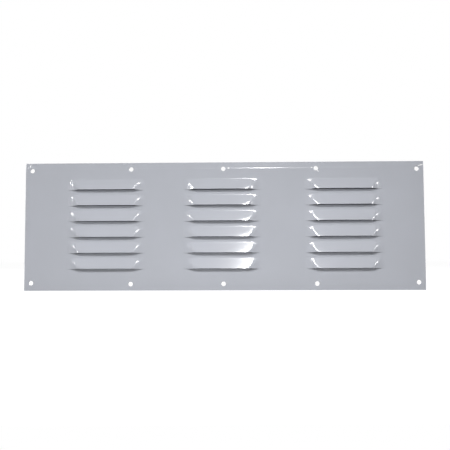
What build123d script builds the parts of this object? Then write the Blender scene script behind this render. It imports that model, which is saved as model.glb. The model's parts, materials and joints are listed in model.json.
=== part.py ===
from build123d import *
import os
from math import atan2, cos, radians, tan

# Louvred ventilation grille: one steel sheet, sheared, punched and lanced, with no loose pieces.
# Millimetres, +Z up. The plate stands as on a wall: its back lies in the plane Y = 0 and its
# front faces -Y. The origin is the middle of the fixing holes, on the back.

# Flat plate
plate_width = 355.0
plate_height = 114.0
sheet_thickness = 0.8

# Fixing holes along both long edges: one at each corner, and three between them
hole_diameter = 4.0
corner_hole_side_margin = 6.0  # hole centre to the short edge
corner_hole_edge_margin = 6.8  # hole centre to the long edge
inner_hole_edge_margin = 5.8  # the holes between the corners stand a little nearer the long edge
inner_hole_spacing = 82.5  # from the middle hole to the one on each side

# One louvre: a hood pushed forward above a straight cut, open downwards, with a flat blade and hipped ends
louvre_length = 64.0  # between the feet of its ends, where their planes meet the plate
louvre_height = 9.8  # from the cut up to the foot of the blade
louvre_rise = 3.9  # the blade's plane is this far in front of the plate at the cut
end_lean = radians(30)  # an end's plane leans this far from the plate
hip_radius = 12.0  # front radius between the blade and an end
crease_radius = 6.0  # front radius where the hood leaves the plate
lip_lift = 0.6  # the lip stands this far above the cut, as the blade has turned about its crease

# Louvre field
left_margin = 41.0  # short edge to the feet of the louvres beside it
right_margin = 39.0
least_column_pitch = 85.0  # columns share the width evenly, at least this far apart
inner_column_shift = -2.3  # as pressed, the inner column stands a little to the left
first_cut_drop = 24.5  # long top edge to the top row's cut
row_pitch = 14.1
least_bottom_margin = 16.0  # last cut to the bottom edge

# Worked out from these: the blade's lean, and the tile of sheet that carries one louvre
front = -sheet_thickness
blade_lean = atan2(louvre_rise, louvre_height)
tile_margin = 0.8  # flat sheet left round a louvre
tile_half = louvre_length / 2 + crease_radius * tan(end_lean / 2) + tile_margin
tile_height = louvre_height + crease_radius * tan(blade_lean / 2) + tile_margin
touching = 0.01


def fixing_hole_places():
    """Centres of the holes as (x, z), five along each long edge."""
    corner_x = plate_width / 2 - corner_hole_side_margin
    corner_z = plate_height / 2 - corner_hole_edge_margin
    inner_z = plate_height / 2 - inner_hole_edge_margin
    places = []
    for side in (1, -1):
        places += [(x, side * corner_z) for x in (-corner_x, corner_x)]
        places += [(x, side * inner_z) for x in (-inner_hole_spacing, 0, inner_hole_spacing)]
    return places


def louvre_places():
    """Middle of each louvre's cut as (x, z): columns across the plate, rows down it."""
    first_x = -plate_width / 2 + left_margin + louvre_length / 2
    last_x = plate_width / 2 - right_margin - louvre_length / 2
    columns = 1 + int((last_x - first_x) / least_column_pitch)
    column_pitch = (last_x - first_x) / max(columns - 1, 1)
    column_xs = [first_x + column * column_pitch for column in range(columns)]
    column_xs[1:-1] = [x + inner_column_shift for x in column_xs[1:-1]]

    rows = 1 + int((plate_height - first_cut_drop - least_bottom_margin) / row_pitch)
    first_z = plate_height / 2 - first_cut_drop
    row_zs = [first_z - row * row_pitch for row in range(rows)]
    return [(x, z) for x in column_xs for z in row_zs]


def hood_form(depth, base):
    """A solid on the plane Y = base that fills the hood up to a surface so deep under its front."""
    stand = base - front
    rise = louvre_rise + stand - depth / cos(blade_lean)
    height = rise / tan(blade_lean)
    foot = louvre_length / 2 + (stand - depth / cos(end_lean)) / tan(end_lean)
    top = foot - rise / tan(end_lean)
    side_view = Polyline((base, 0), (base, height), (base - rise, 0), close=True)
    plan_view = Polyline((-foot, base), (foot, base), (top, base - rise), (-top, base - rise), close=True)
    blade = extrude(Plane.YZ * make_face(side_view), foot, both=True)
    form = blade & extrude(make_face(plan_view), height)
    hips = [edge for edge in form.edges()
            if edge.center().Z > touching and edge.center().Y < base - touching]
    return fillet(hips, hip_radius - depth)


def creases(tile, face_y):
    """The edges along which the hood leaves one face of its tile."""
    border = tile_margin / 4
    return [edge for edge in tile.edges()
            if abs(edge.center().Y - face_y) < touching and abs(edge.center().X) < tile_half - border
            and touching < edge.center().Z < tile_height - border]


def flat_tile():
    """The flat sheet of a tile, with the cut along its lower edge at Z = 0."""
    outline = Pos(0, tile_height / 2) * Rectangle(2 * tile_half, tile_height)
    return extrude(Plane.XZ * outline, sheet_thickness)


def under_lip():
    """The wedge of air between the cut and the raised lip."""
    reach = 2 * louvre_rise
    lift = reach * lip_lift / louvre_rise
    section = Polyline((front, 0), (front - reach, 0), (front - reach, lift), close=True)
    return extrude(Plane.YZ * make_face(section), tile_half, both=True)


def louvre_tile():
    """One louvre with the flat sheet round it: pushed out, hollow behind, rounded at its creases."""
    behind = 1.0
    tile = flat_tile() + hood_form(0, 0) - hood_form(sheet_thickness, behind)
    tile = fillet(creases(tile, front), crease_radius)
    tile = fillet(creases(tile, 0), crease_radius + sheet_thickness)
    return tile - under_lip()


def louvre_plate():
    """The whole grille: the plate with its holes, and a louvre's tile in each window cut for one."""
    plate = extrude(Plane.XZ * Rectangle(plate_width, plate_height), sheet_thickness)
    hole = extrude(Plane.XZ * Circle(hole_diameter / 2), sheet_thickness)
    window = flat_tile()
    tile = louvre_tile()
    places = louvre_places()
    plate -= [Pos(x, 0, z) * hole for x, z in fixing_hole_places()]
    plate -= [Pos(x, 0, z) * window for x, z in places]
    plate += [Pos(x, 0, z) * tile for x, z in places]
    return plate


os.makedirs("parts", exist_ok=True)
export_step(louvre_plate(), "parts/louvre_plate.step")
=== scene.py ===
import bmesh
import bpy
import json
from math import atan2, ceil, cos, exp, hypot, log, pi, radians, sin, tan
from mathutils import Matrix, Vector
from mathutils.geometry import delaunay_2d_cdt


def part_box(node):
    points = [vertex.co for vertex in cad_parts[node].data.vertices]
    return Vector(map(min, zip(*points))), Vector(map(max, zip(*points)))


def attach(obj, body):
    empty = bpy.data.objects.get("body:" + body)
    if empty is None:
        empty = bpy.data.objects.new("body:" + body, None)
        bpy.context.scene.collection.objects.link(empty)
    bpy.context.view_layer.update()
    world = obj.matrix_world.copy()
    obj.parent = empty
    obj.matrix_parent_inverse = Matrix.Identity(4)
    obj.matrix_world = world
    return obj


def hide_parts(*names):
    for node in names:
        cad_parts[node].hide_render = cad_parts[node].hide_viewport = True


# Looks of the louvred ventilation grille: a fine skin of the pressed sheet, its gloss paint, and the
# photograph's view and light. Sizes are in millimetres, as in the solid, and become metres with MM.

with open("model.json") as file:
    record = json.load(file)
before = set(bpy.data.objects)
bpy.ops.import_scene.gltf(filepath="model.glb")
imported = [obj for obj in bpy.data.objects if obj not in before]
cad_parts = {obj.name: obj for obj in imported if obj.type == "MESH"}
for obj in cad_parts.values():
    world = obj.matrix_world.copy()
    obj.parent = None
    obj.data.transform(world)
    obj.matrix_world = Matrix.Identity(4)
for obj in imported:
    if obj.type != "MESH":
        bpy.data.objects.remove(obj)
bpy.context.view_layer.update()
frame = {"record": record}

MM = 0.001
NODE = "louvre_plate"
box_low, box_high = (Vector(corner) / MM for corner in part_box(NODE))
mounts = {mount["name"]: mount["dims"] for mount in frame["record"]["mounts"]}

sheet_thickness = 0.8
half_width = (box_high.x - box_low.x) / 2
half_height = (box_high.z - box_low.z) / 2
lip_out = box_high.y - box_low.y - sheet_thickness  # the lip stands this far in front of the plate
hole_radius = mounts["corner_holes"]["hole_r_mm"]

# One louvre: a blade that leans out from its crease down to the lip, and a leaning end on each side.
# They meet in a fan of folds round a point on the ridge between them.
louvre_length = 64.0
louvre_height = 9.8
lip_lift = 0.57  # the lip stands this far above the cut
foot_inset = 0.9  # an end's plane meets the plate this far inside the louvre's length
end_slope = 0.52  # an end leans this much from the plate
ridge_point_height = 3.6  # the fan's point, above the cut
fan_spread = 0.085  # how much the folds widen away from that point
ridge_round = 0.21  # and how round the ridge is at the point itself
blade_crown = 0.005  # share of the lip's stand-out by which the blade swells between crease and lip
blade_crease = 0.3  # stand-out over which the blade runs into the plate
end_crease = 2.4  # and over which an end does

# The louvres' places: middles of the columns, and the cuts of the rows
column_xs = (-104.5, -1.3, 106.5)
first_cut_z = 32.5
row_pitch = 14.1
row_count = 6

# How the press and the shears left the sheet
bend_line_z = 51.7  # above this line the top margin steps back a little and leans back
bend_lean = tan(radians(3.0))
bend_step = 0.1
bend_softness = 0.16
hole_ring_radius = 3.4  # punching left a low ring round each hole
hole_ring_height = 0.03
hole_ring_softness = 1.0
hole_ring_reach = 4.0  # it is gone this many times its softness away

# Painted highlights: pale glints on the front, from (x, z) to (x, z), and half their width
painted_glints = (((-174.0, 53.0), (-172.9, 57.2), 0.55),
          ((172.9, 52.8), (177.6, 54.2), 0.5),
          ((4.4, 51.8), (5.2, 51.8), 0.7),
          ((78.2, 51.9), (79.3, 51.8), 0.4),
          ((83.8, 49.2), (84.7, 48.3), 0.4))
glint_depth = 0.4  # less than the sheet's thickness, so that the back stays clean

# The net over a louvre's patch of sheet: finer at the ends, and above the blade's middle
side_rim, top_rim = 0.4, 1.4  # sheet in the patch past the hood's ends and its blade
patch_half_length = louvre_length / 2 - foot_inset + end_crease / end_slope + side_rim
patch_height = louvre_height + top_rim
end_zone, end_steps, middle_steps = 13.0, 26, 10
low_zone, low_steps, high_steps = 6.6, 12, 14

# The net over the flat sheet: coarse, but fine along the bend and round the holes
edge_step = 3.0
coarse_step = 4.0
clearance = 1.2  # kept free of the coarse net along the edges and the patches
bend_reach, bend_row_step, bend_column_step = 0.9, 0.15, 1.5
hole_net_reach, hole_net_step, hole_steps = 4.5, 0.45, 40


def hole_places():
    """Centres of the fixing holes as (x, z), from the mounts."""
    places = []
    for dims in mounts.values():
        if "hole_r_mm" not in dims:
            continue
        half_x = dims.get("spacing_x_mm", 0) / 2
        half_z = dims.get("spacing_y_mm", 0) / 2
        for x in sorted({-half_x, half_x}):
            places += [(x, half_z), (x, -half_z)]
    return places


def louvre_places():
    """Middle of each cut as (x, z)."""
    return [(x, first_cut_z - row * row_pitch) for x in column_xs for row in range(row_count)]


def spaced(stops):
    """Values from the first stop to the last, evenly spaced between stops: (stop, steps to the next)."""
    values = []
    for (start, steps), (stop, _) in zip(stops, stops[1:]):
        values += [start + (stop - start) * step / steps for step in range(steps)]
    return values + [stops[-1][0]]


HOLES = hole_places()
LOUVRES = louvre_places()
ALONG = spaced([(-patch_half_length, end_steps), (end_zone - patch_half_length, middle_steps),
                (patch_half_length - end_zone, end_steps), (patch_half_length, 0)])
ABOVE = spaced([(0.0, low_steps), (low_zone, high_steps), (patch_height, 0)])


def plate_front(x, z):
    """Y of the front face without the louvres: flat, but for the bent margin and the holes' rings."""
    past_bend = exp((z - bend_line_z) / bend_softness)
    lean_back = bend_lean * bend_softness * log(1 + past_bend) + bend_step * past_bend / (1 + past_bend)
    rings = 0.0
    for hole_x, hole_z in HOLES:
        off = (hypot(x - hole_x, z - hole_z) - hole_ring_radius) / hole_ring_softness
        if abs(off) < hole_ring_reach:
            rings += hole_ring_height * exp(-off * off)
    return -sheet_thickness + lean_back - rings


def stand_out(along, above):
    """How far a hood stands out of the plate, along the cut from its middle and above the cut."""
    # How far the end's plane and the blade's fall back from the fan's point
    to_foot = louvre_length / 2 - foot_inset - abs(along)
    blade_slope = lip_out / (louvre_height - lip_lift)
    point_out = blade_slope * (louvre_height - ridge_point_height)
    past_end = point_out - end_slope * to_foot
    past_blade = blade_slope * (above - ridge_point_height)

    # The plane that falls back farther counts, with a round change between them
    fan = 0.0
    if past_end * past_blade > 0:
        fan = 8 * fan_spread * (past_end * past_blade) ** 2 / (past_end ** 2 + past_blade ** 2)
    turn = (past_end - past_blade) ** 2 + fan + 4 * ridge_round ** 2
    out = point_out - (past_end + past_blade + turn ** 0.5) / 2
    end_share = (1 + (past_end - past_blade) / turn ** 0.5) / 2
    up_blade = above / louvre_height
    out += (1 - end_share) * lip_out * blade_crown * up_blade * (1 - up_blade)

    # Near the plate the hood runs out along a parabola
    crease = blade_crease + (end_crease - blade_crease) * end_share
    if out < crease:
        out = max(out + crease, 0.0) ** 2 / (4 * crease)
    return out


def lip_height(along):
    """Height of the lip above the cut: it rises with how far the hood stands out."""
    return lip_lift * min(stand_out(along, lip_lift) / lip_out, 1.0)


class Sheet:
    """Points and faces of the sheet's front, with points at one place kept once."""

    def __init__(self):
        self.points = []
        self.faces = []
        self.index = {}

    def point(self, x, y, z):
        key = (round(x, 4), round(y, 4), round(z, 4))
        if key not in self.index:
            self.index[key] = len(self.points)
            self.points.append(Vector((x, y, z)))
        return self.index[key]

    def face(self, *corners):
        kept = list(dict.fromkeys(corners))
        if len(kept) > 2:
            self.faces.append(kept)


def add_hood(sheet, place):
    """One hood, as a net over its patch of the sheet, from its lip upwards."""
    columns = []
    for along in ALONG:
        lip = lip_height(along)
        column = []
        for height in ABOVE:
            above = lip + height * (1 - lip / patch_height)
            x, z = place[0] + along, place[1] + above
            column.append(sheet.point(x, plate_front(x, z) - stand_out(along, above), z))
        columns.append(column)
    for left, right in zip(columns, columns[1:]):
        for i in range(len(ABOVE) - 1):
            sheet.face(left[i], right[i], right[i + 1], left[i + 1])


def rectangle(low, high):
    """Corners of a rectangle between two opposite ones."""
    return [(low[0], low[1]), (high[0], low[1]), (high[0], high[1]), (low[0], high[1])]


def even_line(start, end, step):
    """Points from start to end, without the end, about one step apart."""
    count = max(1, ceil(hypot(end[0] - start[0], end[1] - start[1]) / step))
    return [(start[0] + (end[0] - start[0]) * i / count, start[1] + (end[1] - start[1]) * i / count)
            for i in range(count)]


def circle(x, z, radius, turn=0.0):
    """Points round a hole's centre, turned on by a share of a step."""
    angles = [2 * pi * (step + turn) / hole_steps for step in range(hole_steps)]
    return [(x + radius * cos(angle), z + radius * sin(angle)) for angle in angles]


def flat_loops():
    """The closed outlines of the flat sheet: its edge, its holes and the louvres' patches."""
    corners = rectangle((-half_width, -half_height), (half_width, half_height))
    edge = []
    for start, end in zip(corners, corners[1:] + corners[:1]):
        edge += even_line(start, end, edge_step)
    loops = [edge]
    loops += [circle(x, z, hole_radius) for x, z in HOLES]
    for x, z in LOUVRES:
        right = [(x + patch_half_length, z + above) for above in ABOVE]
        top = [(x + along, z + patch_height) for along in reversed(ALONG)][1:-1]
        left = [(x - patch_half_length, z + above) for above in reversed(ABOVE)]
        cut = [(x + along, z) for along in ALONG][1:-1]
        loops.append(right + top + left + cut)
    return loops


def in_patch(x, z, margin=0.0):
    """Whether a point lies inside a louvre's patch, grown by a margin."""
    return any(abs(x - cut_x) < patch_half_length + margin and -margin < z - cut_z < patch_height + margin
               for cut_x, cut_z in LOUVRES)


def in_hole(x, z, margin=0.0):
    """Whether a point lies inside a hole, grown by a margin."""
    return any(hypot(x - hole_x, z - hole_z) < hole_radius + margin for hole_x, hole_z in HOLES)


def net_rows(rows, step):
    """Points along rows across the plate, one step apart."""
    count = int(2 * half_width / step)
    return [(-half_width + step * (i + 0.5), z) for z in rows for i in range(count)]


def flat_points():
    """Points inside the flat sheet: a coarse net, fine rows at the bend, and rings round the holes."""
    row_places = [-half_height + coarse_step * (i + 0.5) for i in range(int(2 * half_height / coarse_step))]
    coarse_rows = [z for z in row_places if abs(z - bend_line_z) > bend_reach + coarse_step / 2]
    bend_rows = int(bend_reach / bend_row_step)
    fine_rows = [bend_line_z + bend_row_step * i for i in range(-bend_rows, bend_rows + 1)]
    net = net_rows(coarse_rows, coarse_step) + net_rows(fine_rows, bend_column_step)
    points = [(x, z) for x, z in net if abs(z) < half_height - clearance
              and not in_patch(x, z, clearance) and not in_hole(x, z, hole_net_reach)]
    for hole_x, hole_z in HOLES:
        for ring in range(1, int(hole_net_reach / hole_net_step)):
            round_hole = circle(hole_x, hole_z, hole_radius + ring * hole_net_step, turn=ring % 2 / 2)
            points += [(x, z) for x, z in round_hole
                       if abs(x) < half_width - hole_net_step and abs(z) < half_height - hole_net_step]
    return points


def add_flat(sheet):
    """The flat of the sheet, cut into triangles round the holes and the louvres' patches."""
    points = []
    edges = []
    for loop in flat_loops():
        first = len(points)
        points += loop
        edges += [(first + i, first + (i + 1) % len(loop)) for i in range(len(loop))]
    points += flat_points()
    flat, _, triangles, *_ = delaunay_2d_cdt([Vector(p) for p in points], edges, [], 0, 1e-5)
    ids = [sheet.point(x, plate_front(x, z), z) for x, z in flat]
    for corners in triangles:
        middle = sum((flat[i] for i in corners), Vector((0, 0))) / len(corners)
        if not in_patch(*middle) and not in_hole(*middle):
            sheet.face(*(ids[i] for i in corners))


def add_object(name, data):
    """A new object in the scene."""
    made = bpy.data.objects.new(name, data)
    bpy.context.scene.collection.objects.link(made)
    return made


def build_front():
    """The front surface of the whole sheet, not yet thick."""
    sheet = Sheet()
    add_flat(sheet)
    for place in LOUVRES:
        add_hood(sheet, place)
    mesh = bpy.data.meshes.new("painted_louvre_plate")
    mesh.from_pydata([p * MM for p in sheet.points], [], sheet.faces)
    mesh.validate()
    return add_object("painted_louvre_plate", mesh)


def face_forward(mesh):
    """Turn every face so that its normal looks to the front."""
    form = bmesh.new()
    form.from_mesh(mesh)
    backward = [face for face in form.faces if face.normal.y > 0]
    bmesh.ops.reverse_faces(form, faces=backward)
    form.to_mesh(mesh)
    form.free()


def thicken(piece):
    """Give the sheet its thickness towards the back, and keep its cut edges sharp."""
    sharp_angle = radians(35)
    face_forward(piece.data)
    solid = piece.modifiers.new("thickness", "SOLIDIFY")
    solid.thickness = sheet_thickness * MM
    solid.offset = -1
    solid.use_even_offset = True
    solid.use_quality_normals = True
    seen = piece.evaluated_get(bpy.context.evaluated_depsgraph_get())
    mesh = bpy.data.meshes.new_from_object(seen)
    piece.modifiers.clear()
    piece.data = mesh
    mesh.shade_smooth()
    mesh.set_sharp_from_angle(angle=sharp_angle)


def node(tree, kind, **settings):
    """A new shader node with its settings."""
    made = tree.nodes.new(kind)
    for name, value in settings.items():
        setattr(made, name, value)
    return made


def larger(tree, first, second):
    """The larger of two values."""
    either = node(tree, "ShaderNodeMath", operation="MAXIMUM")
    tree.links.new(first, either.inputs[0])
    tree.links.new(second, either.inputs[1])
    return either.outputs[0]


def glint_mask(tree, place, start, end, half_across):
    """1 inside a long thin painted highlight between two points of the front, and 0 round it."""
    along = Vector(end) - Vector(start)
    middle = (Vector(start) + Vector(end)) / 2
    half_along = along.length / 2 + half_across
    mark = node(tree, "ShaderNodeMapping", vector_type="TEXTURE")
    mark.inputs["Location"].default_value = Vector((middle.x, -sheet_thickness, middle.y)) * MM
    mark.inputs["Rotation"].default_value = (0, -atan2(along.y, along.x), 0)
    mark.inputs["Scale"].default_value = Vector((half_along, glint_depth, half_across)) * MM
    reach = node(tree, "ShaderNodeVectorMath", operation="LENGTH")
    mask = node(tree, "ShaderNodeMapRange")
    mask.inputs["From Min"].default_value = 1.15
    mask.inputs["From Max"].default_value = 0.75
    tree.links.new(place.outputs["Object"], mark.inputs["Vector"])
    tree.links.new(mark.outputs["Vector"], reach.inputs[0])
    tree.links.new(reach.outputs["Value"], mask.inputs["Value"])
    return mask.outputs["Result"]


def gloss_paint():
    """Light grey gloss paint on sheet steel: faintly cloudy, with a fine orange peel and pale painted
    highlights.
    """
    material = bpy.data.materials.new("grey_gloss_paint")
    material.use_nodes = True
    tree = material.node_tree
    shader = tree.nodes["Principled BSDF"]
    shader.inputs["Roughness"].default_value = 0.17
    shader.inputs["IOR"].default_value = 1.5
    place = node(tree, "ShaderNodeTexCoord")

    cloud = node(tree, "ShaderNodeTexNoise")
    cloud.inputs["Scale"].default_value = 22.0
    cloud.inputs["Detail"].default_value = 3.0
    tint = node(tree, "ShaderNodeValToRGB")
    tint.color_ramp.elements[0].position = 0.3
    tint.color_ramp.elements[0].color = (0.440, 0.456, 0.500, 1)
    tint.color_ramp.elements[1].position = 0.7
    tint.color_ramp.elements[1].color = (0.456, 0.472, 0.520, 1)
    tree.links.new(place.outputs["Object"], cloud.inputs["Vector"])
    tree.links.new(cloud.outputs["Fac"], tint.inputs["Fac"])

    # Painted highlights: the glints' masks mix a near white into the base colour.
    masks = [glint_mask(tree, place, *painted_glint) for painted_glint in painted_glints]
    marks = masks[0]
    for mask in masks[1:]:
        marks = larger(tree, marks, mask)
    glinted = node(tree, "ShaderNodeMix", data_type="RGBA")
    glinted.inputs["B"].default_value = (0.95, 0.95, 0.95, 1)
    tree.links.new(marks, glinted.inputs["Factor"])
    tree.links.new(tint.outputs["Color"], glinted.inputs["A"])
    tree.links.new(glinted.outputs["Result"], shader.inputs["Base Color"])

    peel = node(tree, "ShaderNodeTexNoise")
    peel.inputs["Scale"].default_value = 900.0
    peel.inputs["Detail"].default_value = 2.0
    bump = node(tree, "ShaderNodeBump")
    bump.inputs["Strength"].default_value = 0.02
    bump.inputs["Distance"].default_value = 0.0002
    tree.links.new(place.outputs["Object"], peel.inputs["Vector"])
    tree.links.new(peel.outputs["Fac"], bump.inputs["Height"])
    tree.links.new(bump.outputs["Normal"], shader.inputs["Normal"])
    return material


def seen_directly(tree):
    """1 for rays from the camera, a reflection or a clear material, and 0 for lighting rays."""
    path = node(tree, "ShaderNodeLightPath")
    seen = larger(tree, path.outputs["Is Camera Ray"], path.outputs["Is Glossy Ray"])
    return larger(tree, seen, path.outputs["Is Transmission Ray"])


def choose(tree, factor, at_zero, at_one, output_kind):
    """Show the first shader where the factor is 0, and the second where it is 1."""
    choice = node(tree, "ShaderNodeMixShader")
    output = node(tree, output_kind)
    tree.links.new(factor, choice.inputs["Fac"])
    tree.links.new(at_zero.outputs[0], choice.inputs[1])
    tree.links.new(at_one.outputs[0], choice.inputs[2])
    tree.links.new(choice.outputs[0], output.inputs["Surface"])


def white_world(fill):
    """A white background, and an even fill light."""
    world = bpy.data.worlds.new("studio")
    bpy.context.scene.world = world
    world.use_nodes = True
    tree = world.node_tree
    tree.nodes.clear()
    lighting = node(tree, "ShaderNodeBackground")
    lighting.inputs["Strength"].default_value = fill
    white = node(tree, "ShaderNodeBackground")
    white.inputs["Strength"].default_value = 1.0
    for background in (lighting, white):
        background.inputs["Color"].default_value = (1, 1, 1, 1)
    choose(tree, seen_directly(tree), lighting, white, "ShaderNodeOutputWorld")


def empty_material(name):
    """A material with no nodes yet."""
    material = bpy.data.materials.new(name)
    material.use_nodes = True
    material.node_tree.nodes.clear()
    return material


def flat_card(name, corners, material):
    """A flat object with four corners, given in metres."""
    mesh = bpy.data.meshes.new(name)
    mesh.from_pydata(corners, [], [(0, 1, 2, 3)])
    mesh.materials.append(material)
    return add_object(name, mesh)


def white_floor():
    """A pale floor under the plate's lower edge, lifted to white for the camera, with its shadows kept."""
    half_size = 2.0
    floor_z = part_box(NODE)[0][2]
    material = empty_material("pale_floor")
    tree = material.node_tree
    matt = node(tree, "ShaderNodeBsdfDiffuse")
    matt.inputs["Color"].default_value = (0.25, 0.25, 0.25, 1)
    lift = node(tree, "ShaderNodeEmission")
    lift.inputs["Strength"].default_value = 0.95
    lifted = node(tree, "ShaderNodeAddShader")
    tree.links.new(matt.outputs[0], lifted.inputs[0])
    tree.links.new(lift.outputs[0], lifted.inputs[1])
    choose(tree, seen_directly(tree), matt, lifted, "ShaderNodeOutputMaterial")
    corners = rectangle((-half_size, -half_size), (half_size, half_size))
    floor = flat_card("floor", [(x, y, floor_z) for x, y in corners], material)


def shade_card():
    """Painted shade: a dark card close behind the louvres that darkens their mouths; only the camera sees
    it, from the front.
    """
    behind = 3.0
    margin = 4.0
    material = empty_material("shade_card")
    tree = material.node_tree
    dark = node(tree, "ShaderNodeBsdfDiffuse")
    dark.inputs["Color"].default_value = (0.03, 0.03, 0.033, 1)
    clear = node(tree, "ShaderNodeBsdfTransparent")
    side = node(tree, "ShaderNodeNewGeometry")
    path = node(tree, "ShaderNodeLightPath")
    shown = node(tree, "ShaderNodeMath", operation="SUBTRACT", use_clamp=True)
    tree.links.new(path.outputs["Is Camera Ray"], shown.inputs[0])
    tree.links.new(side.outputs["Backfacing"], shown.inputs[1])
    choose(tree, shown.outputs[0], clear, dark, "ShaderNodeOutputMaterial")
    half_length = max(abs(x) for x in column_xs) + louvre_length / 2 + margin
    last_cut_z = first_cut_z - (row_count - 1) * row_pitch
    corners = rectangle((-half_length, last_cut_z - margin), (half_length, first_cut_z + louvre_height))
    card = flat_card("shade_card", [Vector((x, behind, z)) * MM for x, z in corners], material)


def area_light(name, place, aim, size, power, in_gloss=True, in_matt=True, spread=180):
    """A rectangular lamp, aimed at a point, that lights the gloss, the matt part or both.

    Its spread is the whole angle of its beam in degrees, and its power is in watts."""
    lamp = bpy.data.lights.new(name, "AREA")
    lamp.shape = "RECTANGLE"
    lamp.size = size[0] * MM
    lamp.size_y = size[1] * MM
    lamp.energy = power
    lamp.spread = radians(spread)
    lit = add_object(name, lamp)
    lit.location = Vector(place) * MM
    lit.rotation_euler = (Vector(aim) - Vector(place)).to_track_quat("-Z", "Y").to_euler()
    lit.visible_camera = False
    lit.visible_glossy = in_gloss
    lit.visible_diffuse = in_matt


def place_camera():
    """The photograph's view: from a little below and to the right of the plate's middle."""
    place = Vector((11.1, -479.7, -25.7))
    pitch, yaw, roll = radians(3.17), radians(1.16), radians(0.21)
    focal_px = 540.0
    image_px = 450.0
    lens = bpy.data.cameras.new("camera")
    lens.sensor_width = 36.0
    lens.lens = lens.sensor_width * focal_px / image_px
    camera = add_object("camera", lens)
    turn = Matrix.Rotation(yaw, 4, "Z") @ Matrix.Rotation(pitch, 4, "X") @ Matrix.Rotation(roll, 4, "Y")
    camera.matrix_world = Matrix.Translation(place * MM) @ turn @ Matrix.Rotation(pi / 2, 4, "X")
    bpy.context.scene.camera = camera


plate = build_front()
thicken(plate)
plate.data.materials.clear()
plate.data.materials.append(gloss_paint())
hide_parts(NODE)
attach(plate, "root")

# The key hangs over the front and faces down. The lamps at the sides only make marks in the gloss,
# and the fills only light the matt part.
white_world(fill=0.12)
white_floor()
area_light("key", (66, -548, 346), (66, -638, 12), (36, 500), 7.5)
area_light("left_lamp", (-600, -440, 190), (107, 0, 0), (24, 50), 0.07, in_matt=False, spread=40)
area_light("inner_lamp", (-450, -480, 190), (-30, 0, 0), (18, 44), 0.021, in_matt=False, spread=30)
area_light("right_lamp", (600, -440, 190), (137, 0, 0), (20, 40), 1.0, in_matt=False)
area_light("low_fill", (-60, -200, -35), (-60, 0, -35), (300, 30), 0.04, in_gloss=False)
area_light("left_fill", (-380, -480, 400), (-380, -560, 100), (150, 150), 3.4, in_gloss=False)
area_light("back_lamp", (-150, 700, 350), (0, 0, 0), (500, 300), 2.6)
# Painted shade: a dark card behind the louvres' mouths.
shade_card()
place_camera()
bpy.context.scene.view_settings.view_transform = "Standard"
